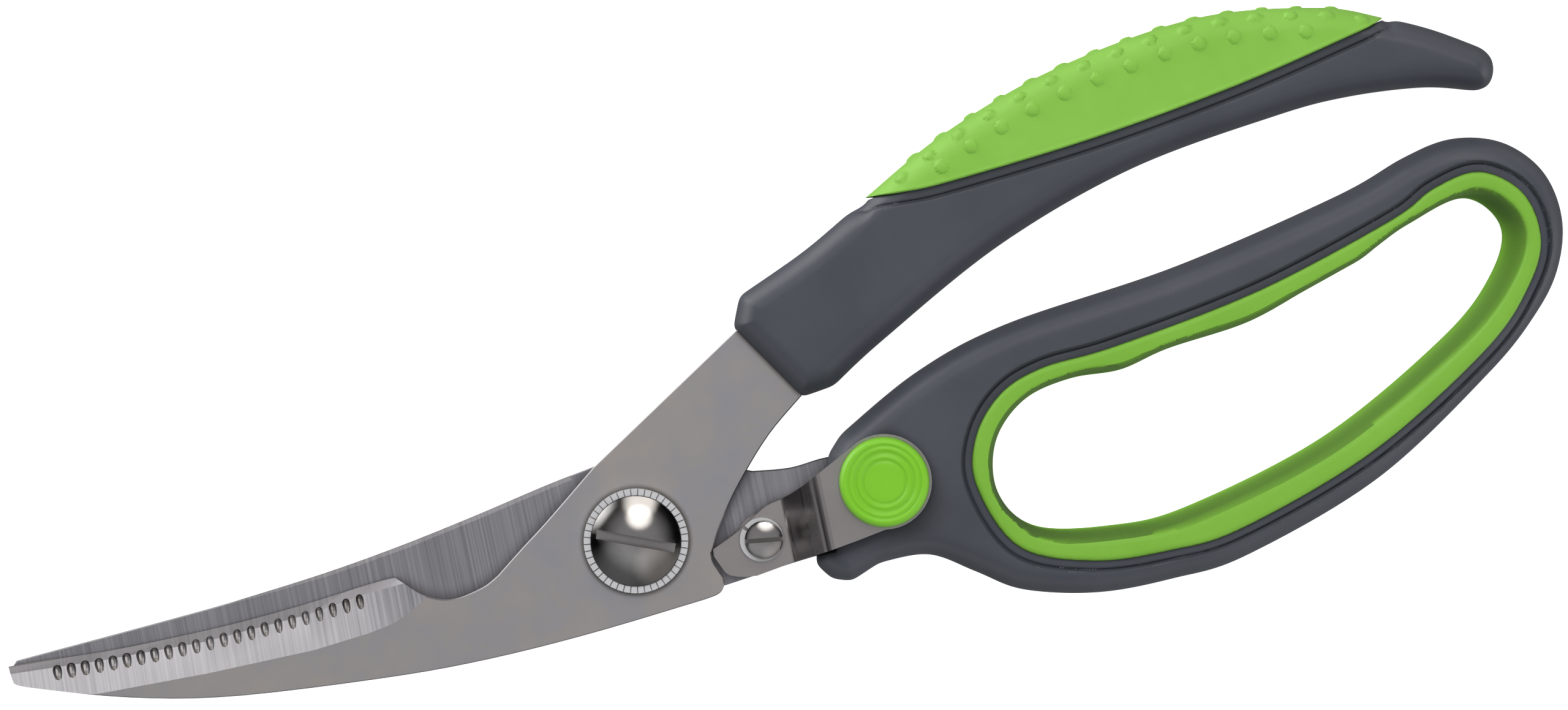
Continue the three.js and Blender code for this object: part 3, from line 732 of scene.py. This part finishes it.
# Each row of bumps: how far inside the crest it runs, where it starts and ends along X, the distance
# from bump to bump and their height.
BUMP_ROWS = (
    (0.0, 54.9, 125.5, 5.5, 0.42),
    (1.5, 52.4, 131.0, 5.6, 0.5),
    (4.3, 58.9, 121.5, 5.63, 0.54),
)
BUMP_ROW_BOW = 0.12  # the rows close up on the crest by this share towards both ends


def upper_handle():
    """The plain handle and the pad on its outer edge, which share the triangles' outlines."""

    def keep(points):
        return inside(points, upper_outline)

    by_outline = distance(pad_seam, upper_outline) < SEAM_PAST
    seam = pad_seam[by_outline | inside(pad_seam, upper_outline)]
    under_pad = grid(*PAD_FIELD, PAD_SPACING)
    under_pad = under_pad[inside(under_pad, upper_outline) & inside(under_pad, pad_region)]
    grids = [(under_pad, PAD_SPACING), (grid(*UPPER_FIELD, SPACING), SPACING)]
    rings = ring_offsets(UPPER_DEGREES)
    flat, faces = sheet([(upper_outline, True)], [seam], rings, SEAM_ROWS, keep, grids)
    faces = faces[keep(flat[faces].mean(1))]
    padded = inside(flat[faces].mean(1), pad_region)

    def body_top(points):
        depth = distance(points, upper_outline)
        seam_gap = distance(points, pad_seam, closed=False)
        return crown(depth) - recess(seam_gap, PAD_LAND_WIDE) * smoothstep(crown(depth), *LAND_FADE)

    body = raised("upper_handle_body_fine", flat, faces[~padded], body_top, BODY_WALL_STEPS)
    dent(body)
    shown("upper_handle_grip", body, "front_half", "upper_handle_body", GREY)

    def pad_top(points):
        depth = distance(points, upper_outline)
        seam_gap = distance(points, pad_seam, closed=False)
        lip = PAD_LIP * ridge(seam_gap, PAD_LIP_IN, PAD_LIP_WIDE)
        return crown(depth) + PAD_PROUD - rounding(seam_gap, PAD_EDGE) + lip

    pad = raised("upper_grip_pad_fine", flat, faces[padded], pad_top, PAD_WALL_STEPS)
    stud(pad, pad_top)
    shown("upper_grip_cushion", pad, "front_half", "upper_grip_pad", PAD_GREEN)


def dent(mesh):
    """The body's outline steps in just beside each tip of the pad."""
    points = np.array([v.co for v in mesh.vertices]) / MM
    crest = points[:, 1] > np.interp(points[:, 0], *zip(*DENT_OVER))
    near = sum(deep * ridge(points[:, 0], at, wide) for at, wide, deep in DENTS) * crest
    depth = distance(points[:, :2], upper_outline)
    shift = near * (1 - smoothstep(depth, *DENT_FADE))
    points[:, :2] += shift[:, None] * facing(points[:, :2], upper_outline)
    mesh.vertices.foreach_set("co", (points * MM).ravel())
    mesh.update()


def bump_places(height):
    """The bumps' centres and heights, evenly spaced along rows that follow the crest, on both faces."""
    crest = upper_outline[inside(upper_outline, pad_region)]
    crest = resampled(crest[np.argsort(crest[:, 0])], CREST_STEP, closed=False)
    ahead = np.gradient(crest, axis=0)
    ahead /= np.linalg.norm(ahead, axis=1)[:, None]
    down = np.stack([ahead[:, 1], -ahead[:, 0]], axis=1)
    along = np.linspace(-1, 1, len(crest))[:, None]
    places = []
    for inset, first, last, pitch, high in BUMP_ROWS:
        line = crest + inset * (1 - BUMP_ROW_BOW * along**2) * down
        row = line[(line[:, 0] >= first) & (line[:, 0] <= last)]
        row = resampled(row, CREST_STEP, closed=False)[:: round(pitch / CREST_STEP)]
        levels = height(row) if inset else np.zeros(len(row))
        for side in (1, -1) if inset else (1,):
            places += [(x, y, side * z, high) for (x, y), z in zip(row, levels)]
    return places


def stud(mesh, height):
    """Raises round bumps on the pad, along its own normals."""
    tree = KDTree(len(mesh.vertices))
    for v in mesh.vertices:
        tree.insert(v.co / MM, v.index)
    tree.balance()
    normals = [v.normal.copy() for v in mesh.vertices]
    for x, y, z, high in bump_places(height):
        for _, index, far in tree.find_range((x, y, z + PLANE), BUMP_RADIUS):
            dome = math.sqrt(max(1 - (far / BUMP_RADIUS) ** 2, 0))
            mesh.vertices[index].co += normals[index] * high * MM * dome**BUMP_FULLNESS
    mesh.update()


upper_handle()

loop_outer = softened(outline(
    [32.3, 6.9],
    [[34.9, 9.6]],
    [[48.8, 16.8], [64.1, 21.2], [91.9, 24.5], [119.2, 30.1], [130.7, 33.8], [138.5, 35.1],
     [146.1, 32.9], [151.4, 27.1], [152.8, 19.3], [150.5, 11.7], [145.6, 5.4], [136.4, -2.2],
     [116.0, -14.7], [93.3, -22.25], [81.3, -23.4], [69.4, -23.1], [57.9, -20.2], [51.2, -15.9],
     [44.5, -11.7], [36.6, -11.4]],
    [[31.8, -13.3]],
    [[28.8, -12.3]],
    [[26.8, -9.5]],
))

liner_outer = softened(closed_spline(as_seen([
    [54.1, -2.9], [55.6, 4.75], [60.8, 10.6], [68.2, 13.3], [80.1, 14.2], [103.8, 18.0], [126.8, 24.6],
    [134.1, 28.0], [141.9, 29.2], [148, 24.5], [149.3, 16.8], [145.7, 9.7], [137.0, 1.4], [116.2, -10.6],
    [93.5, -18.1], [81.5, -19.1], [69.6, -18.2], [58.6, -13.6],
])))

liner_inner = softened(closed_spline([
    [57.2, -4.5], [58.5, 3.4], [64.2, 8.9], [72, 10.7], [80.1, 10.4], [88, 12.1], [101, 13.5],
    [111, 16.5], [117.5, 18.5], [120.9, 19.6], [124.1, 21.2], [129.3, 23.4], [138.6, 25.6],
    [143.35, 19.9], [139.9, 12.6], [130.6, 4.75], [109.1, -6.5], [85.7, -12.8], [73.6, -13.2],
    [61.8, -10.8],
]))

# The ring handle's root is hollowed in front of the tang, where the latch's cranked wall swings.
pocket = outline(
    [22, -8.5],
    [[30.3, -8.2]],
    [[32.2, -5.0], [32.8, -2.0], [32.0, 2.0], [30.6, 5.2], [28.0, 7.9]],
    [[22, 9.5]],
)
POCKET_FLOOR = -0.05  # both heights are over the blades' sliding plane
POCKET_TOP = 10

# The liner's inner wall leans in from the front face to the middle, most where it looks this way.
LINER_WIDE_SIDE = np.array([-0.92, 0.39])
LINER_DRAFT = 1.5
LINER_DRAFT_SWING = 1.6
LINER_DRAFT_LEAST = 0.8
LINER_HOLLOW = 1.5  # over 1, the wall steepens towards the face
LINER_LINE = 0.15  # half the height of the moulding line on that wall
LINER_PROUD = 0.1
LINER_FACE = HANDLE_HALF + LINER_PROUD
LINER_EDGE = 0.9  # the radius of the liner's outer edge
LINER_BROW = 1.3  # and how softly its face turns into the wall
LINER_WALL_STEPS = 6


def loop_handle():
    """The ring handle and the liner inside it, which share the triangles' outlines."""

    def keep(points):
        return inside(points, loop_outer) & ~inside(points, liner_inner)

    loops = [(loop_outer, True), (liner_inner, True), (liner_outer, False)]
    grids = [(grid(*LOOP_FIELD, SPACING), SPACING)]
    flat, faces = sheet(loops, [], ring_offsets(LOOP_DEGREES), SEAM_ROWS, keep, grids)
    faces = faces[keep(flat[faces].mean(1))]
    lined = inside(flat[faces].mean(1), liner_outer)

    def body_top(points):
        depth = distance(points, loop_outer)
        seam_gap = distance(points, liner_outer)
        return crown(depth) - recess(seam_gap, LINER_LAND_WIDE)

    body = raised("loop_handle_body_fine", flat, faces[~lined], body_top, BODY_WALL_STEPS)
    grip = shown("loop_handle_grip", body, "rear_half", "loop_handle_body", GREY)
    hollow(grip, pocket, POCKET_FLOOR, POCKET_TOP)

    def liner_top(points):
        depth = distance(points, liner_inner)
        seam_gap = distance(points, liner_outer)
        swing = LINER_DRAFT_SWING * (facing(points, liner_inner) @ LINER_WIDE_SIDE)
        lean = np.maximum(LINER_DRAFT + swing, LINER_DRAFT_LEAST)
        face = LINER_FACE - rounding(seam_gap, LINER_EDGE)
        wall = LINER_LINE + LINER_FACE * (depth / lean) ** LINER_HOLLOW
        return soft_lower(face, wall, LINER_BROW)

    liner = raised("loop_liner_fine", flat, faces[lined], liner_top, LINER_WALL_STEPS)
    shown("loop_cushion", liner, "rear_half", "loop_liner", LINER_GREEN)


def hollow(piece, region, low, high):
    """Cuts a straight-sided hollow out of a piece."""
    made = bmesh.new()
    rings = []
    for height in (low, high):
        z = (height + PLANE) * MM
        rings.append([made.verts.new((x * MM, y * MM, z)) for x, y in region])
    made.faces.new(rings[0][::-1])
    made.faces.new(rings[1])
    n = len(region)
    for i in range(n):
        j = (i + 1) % n
        made.faces.new((rings[0][i], rings[0][j], rings[1][j], rings[1][i]))
    bmesh.ops.recalc_face_normals(made, faces=made.faces)
    mesh = bpy.data.meshes.new("hollow_tool")
    made.to_mesh(mesh)
    made.free()
    tool = bpy.data.objects.new("hollow_tool", mesh)
    bpy.context.scene.collection.objects.link(tool)
    cut = piece.modifiers.new("hollow", "BOOLEAN")
    cut.operation = "DIFFERENCE"
    cut.solver = "EXACT"
    cut.object = tool
    bpy.context.view_layer.update()
    evaluated = piece.evaluated_get(bpy.context.evaluated_depsgraph_get())
    result = bpy.data.meshes.new_from_object(evaluated)
    piece.modifiers.clear()
    piece.data = result
    result.set_sharp_from_angle(angle=SHARP_ANGLE)
    bpy.data.objects.remove(tool)


loop_handle()

# ---------------------------------------------------------------- button

# The button's face from the rim inwards, as [radius, depth under the top]: a rounded rim, two ridges
# with grooves between them and a flat middle.
BUTTON_FACE = [
    [7.0, 1.5], [6.95, 0.95], [6.78, 0.5], [6.55, 0.2], [6.3, 0.05], [6.1, 0.0],
    [5.95, 0.05], [5.82, 0.17], [5.68, 0.24], [5.55, 0.22], [5.4, 0.12], [5.22, 0.07],
    [5.04, 0.12], [4.86, 0.28], [4.66, 0.4], [4.46, 0.41], [4.26, 0.32], [4.06, 0.22],
    [3.88, 0.18], [3.72, 0.24], [3.56, 0.38], [3.4, 0.48], [3.26, 0.48], [3.12, 0.4],
    [2.95, 0.36], [2.5, 0.37], [1.2, 0.42], [0, 0.43],
]
# Its underside from the axis outwards, as [radius, height over the lowest point], with the rivet's bore.
BUTTON_UNDER = [[0, 1.9], [1.3, 1.9], [1.3, 0], [6.6, 0], [6.9, 0.12], [7.0, 0.4]]
BUTTON_SEGMENTS = 96


def button():
    """The thumb button."""
    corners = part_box("latch_button")
    low, high = (v.z / MM - PLANE for v in corners)
    centre = (corners[0] + corners[1]).xy / 2 / MM
    profile = [[radius, low + height] for radius, height in BUTTON_UNDER]
    profile += [[radius, high - depth] for radius, depth in BUTTON_FACE]
    mesh = turned("latch_button_fine", profile, centre, BUTTON_SEGMENTS)
    shown("latch_button_cap", mesh, "latch", "latch_button", BUTTON_GREEN)


button()

# ---------------------------------------------------------------- CAD nodes that stay


def smoothed(degrees):
    """A node group that joins coincident points and shades smoothly except across sharper edges."""
    group = bpy.data.node_groups.new("smooth_by_angle", "GeometryNodeTree")
    group.interface.new_socket("Geometry", in_out="INPUT", socket_type="NodeSocketGeometry")
    group.interface.new_socket("Geometry", in_out="OUTPUT", socket_type="NodeSocketGeometry")
    add, link = group.nodes.new, group.links.new
    start, end = add("NodeGroupInput"), add("NodeGroupOutput")
    weld = add("GeometryNodeMergeByDistance")
    weld.inputs["Distance"].default_value = 0.001 * MM
    faces = add("GeometryNodeSetShadeSmooth")
    edges = add("GeometryNodeSetShadeSmooth")
    edges.domain = "EDGE"
    edges.inputs["Shade Smooth"].default_value = False
    angle = add("GeometryNodeInputMeshEdgeAngle")
    over = add("FunctionNodeCompare")
    over.inputs[1].default_value = math.radians(degrees)
    link(angle.outputs["Unsigned Angle"], over.inputs[0])
    link(over.outputs[0], edges.inputs["Selection"])
    link(start.outputs[0], weld.inputs["Geometry"])
    link(weld.outputs[0], faces.inputs["Geometry"])
    link(faces.outputs[0], edges.inputs["Geometry"])
    link(edges.outputs[0], end.inputs[0])
    return group


SMOOTH = smoothed(28)
SMOOTH_BLADE = smoothed(12)  # a blade's ground faces meet its flats at small angles
LOOKS = {
    "front_blade": FRONT_STEEL,
    "rear_blade": REAR_STEEL,
    "pivot_bolt": SATIN,
    "pivot_washer": SATIN,
    "opening_spring": SPRING_STEEL,
    "toothed_ring": RING_STEEL,
    "pivot_cap_nut": MIRROR,
    "latch_plate": PLATE_STEEL,
    "latch_screw": MIRROR,
    "latch_lock_washer": RING_STEEL,
    "latch_washer": SATIN,
    "button_rivet": SATIN,
}
for name, look in LOOKS.items():
    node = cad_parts[name]
    if node.data.has_custom_normals:
        with bpy.context.temp_override(object=node, active_object=node):
            bpy.ops.mesh.customdata_custom_splitnormals_clear()
    node.data.materials.clear()
    node.data.materials.append(look)
    smooth = node.modifiers.new("smooth", "NODES")
    smooth.node_group = SMOOTH_BLADE if name.endswith("_blade") else SMOOTH

# ---------------------------------------------------------------- camera, light and floor

camera = bpy.data.objects.new("camera", bpy.data.cameras.new("camera"))
bpy.context.scene.collection.objects.link(camera)
camera.location = (AIM[0] * MM, AIM[1] * MM, (PLANE + DISTANCE) * MM)
camera.rotation_euler = (0, 0, TURN)
camera.data.lens = camera.data.sensor_width * DISTANCE / FRAME_WIDE
camera.data.clip_start = 0.05
camera.data.clip_end = 20
bpy.context.scene.camera = camera

LIGHT_REACH = 1.2  # each light's distance in metres; its sides are in metres too


def area(name, direction, size, power):
    """A soft light in that direction: right, up and towards the camera. Metal doesn't mirror it."""
    right = Vector((math.cos(TURN), math.sin(TURN), 0))
    up = Vector((-math.sin(TURN), math.cos(TURN), 0))
    aim = Vector((AIM[0] * MM, AIM[1] * MM, PLANE * MM))
    way = (right * direction[0] + up * direction[1] + Vector((0, 0, direction[2]))).normalized()
    lamp = bpy.data.lights.new(name, "AREA")
    lamp.shape = "RECTANGLE"
    lamp.size, lamp.size_y = size
    lamp.energy = power
    made = bpy.data.objects.new(name, lamp)
    bpy.context.scene.collection.objects.link(made)
    made.location = aim + way * LIGHT_REACH
    made.rotation_euler = (-way).to_track_quat("-Z", "Y").to_euler()
    made.visible_glossy = False


area("key", (-0.45, 0.7, 1.0), size=(0.7, 0.6), power=8.7)
area("side", (0.75, -0.6, 0.6), size=(0.6, 0.6), power=7)


class Sky:
    """The studio that the metal mirrors: soft patches of light by direction, in the view's own axes."""

    def __init__(self):
        world = bpy.data.worlds.new("studio")
        bpy.context.scene.world = world
        world.use_nodes = True
        self.tree = world.node_tree
        self.background = self.tree.nodes["Background"]
        way = self.tree.nodes.new("ShaderNodeTexCoord").outputs["Generated"]
        turn = self.tree.nodes.new("ShaderNodeVectorRotate")
        turn.rotation_type = "Z_AXIS"
        turn.inputs["Angle"].default_value = -TURN
        self.tree.links.new(way, turn.inputs["Vector"])
        self.way = turn.outputs["Vector"]
        self.total = None

    def near(self, direction, full, none):
        """1 where a direction is within one angle of this one, falling to 0 at the other, in degrees."""
        dot = self.tree.nodes.new("ShaderNodeVectorMath")
        dot.operation = "DOT_PRODUCT"
        self.tree.links.new(self.way, dot.inputs[0])
        dot.inputs[1].default_value = Vector(direction).normalized()
        fade = self.tree.nodes.new("ShaderNodeMapRange")
        fade.interpolation_type = "SMOOTHSTEP"
        self.tree.links.new(dot.outputs["Value"], fade.inputs["Value"])
        fade.inputs["From Min"].default_value = math.cos(math.radians(none))
        fade.inputs["From Max"].default_value = math.cos(math.radians(full))
        return fade.outputs["Result"]

    def patch(self, direction, full, none, colour, strength):
        """Adds light round a direction, or takes it away where the strength is negative."""
        scaled = self.tree.nodes.new("ShaderNodeVectorMath")
        scaled.operation = "SCALE"
        scaled.inputs[0].default_value = [c * strength for c in colour]
        self.tree.links.new(self.near(direction, full, none), scaled.inputs["Scale"])
        if self.total is None:
            self.total = scaled.outputs["Vector"]
            return
        both = self.tree.nodes.new("ShaderNodeVectorMath")
        self.tree.links.new(self.total, both.inputs[0])
        self.tree.links.new(scaled.outputs["Vector"], both.inputs[1])
        self.total = both.outputs["Vector"]

    def finish(self):
        """Sends the patches' sum to the background."""
        self.tree.links.new(self.total, self.background.inputs["Color"])


WARM = (1.0, 0.96, 0.92)
COOL = (0.94, 0.97, 1.0)
FAINT_VIOLET = (0.98, 0.97, 1.0)
WHITE = (1.0, 1.0, 1.0)
# Each patch: its direction, the angles that it is full within and gone past, its colour and strength.
PATCHES = (
    ((0, 0, -1), 98, 118, WHITE, 0.6),  # a pale surround from a little over the horizon down
    ((0, 0, -1), 58, 88, WHITE, -0.42),  # and less of it from below
    ((0, 0.05, 1), 12, 55, FAINT_VIOLET, 0.212),  # the ceiling, which the flats mirror
    ((0.06, 0.62, 1), 9, 20, WARM, 1.3),  # two bright spots on the domed nut and the screw
    ((0.1, 1.2, 1), 10, 24, WARM, 1.1),
    ((0.6, -0.7, 1), 10, 36, WARM, 0.16),  # faint light on their lower halves
    ((-0.4, -0.8, 1), 10, 45, COOL, 0.1),
    ((-0.8, 0.6, 0.0), 14, 42, WHITE, 2.3),  # light along edges that face left and up
    ((0.9, -0.3, 0.0), 12, 34, WHITE, 0.7),  # and right
)
sky = Sky()
for patch in PATCHES:
    sky.patch(*patch)
sky.finish()

FLOOR_REACH = 4.0
FLOOR_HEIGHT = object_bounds()[0].z - 0.5 * MM  # just under the object
floor_mesh = bpy.data.meshes.new("floor")
signs = ((-1, -1), (1, -1), (1, 1), (-1, 1))
floor_corners = [(x * FLOOR_REACH, y * FLOOR_REACH, FLOOR_HEIGHT) for x, y in signs]
floor_mesh.from_pydata(floor_corners, [], [(0, 1, 2, 3)])
floor = bpy.data.objects.new("floor", floor_mesh)
bpy.context.scene.collection.objects.link(floor)
paper = Graph("pale_floor")
floor.data.materials.append(paper.finish(**{
    "Base Color": (0.9, 0.9, 0.9, 1),
    "Roughness": 0.9,
    "Emission Color": (1, 1, 1, 1),
    "Emission Strength": 1.0,
}))
# The floor shows white but doesn't light the object: the sky does that.
floor.visible_glossy = False
floor.visible_diffuse = False
floor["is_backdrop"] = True

bpy.context.scene.view_settings.view_transform = "Standard"

{"cad": CAD_BOX, "visual": plain_box()}
